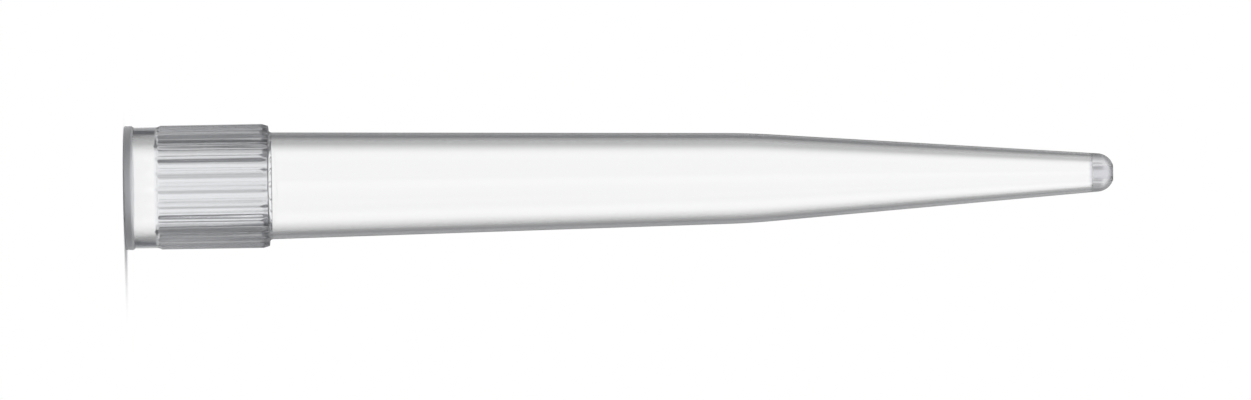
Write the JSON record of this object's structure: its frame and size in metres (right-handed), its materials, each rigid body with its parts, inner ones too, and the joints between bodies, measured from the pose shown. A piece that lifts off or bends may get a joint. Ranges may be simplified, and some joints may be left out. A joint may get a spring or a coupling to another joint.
{
  "type": "pipette tip",
  "caption": "Clear one-piece pipette tip with a ribbed collar round a tapered socket, a slightly tapered barrel, a steeper cone and a rounded nose with a small orifice.",
  "frame": {"origin": "centre of the mouth face, on the tip's axis, at the bottom of its bounding box as it stands on its mouth", "axes": "+Z along the axis from the mouth to the nose, +X through the crest of a rib"},
  "size_m": [0.0088, 0.0088, 0.071],
  "materials": {
    "clear_plastic": "clear natural polypropylene, smooth and glossy inside and out, with a faint cool tint in thick sections"
  },
  "bodies": {
    "root": {"pipette_tip": "clear_plastic"}
  },
  "joints": []
}
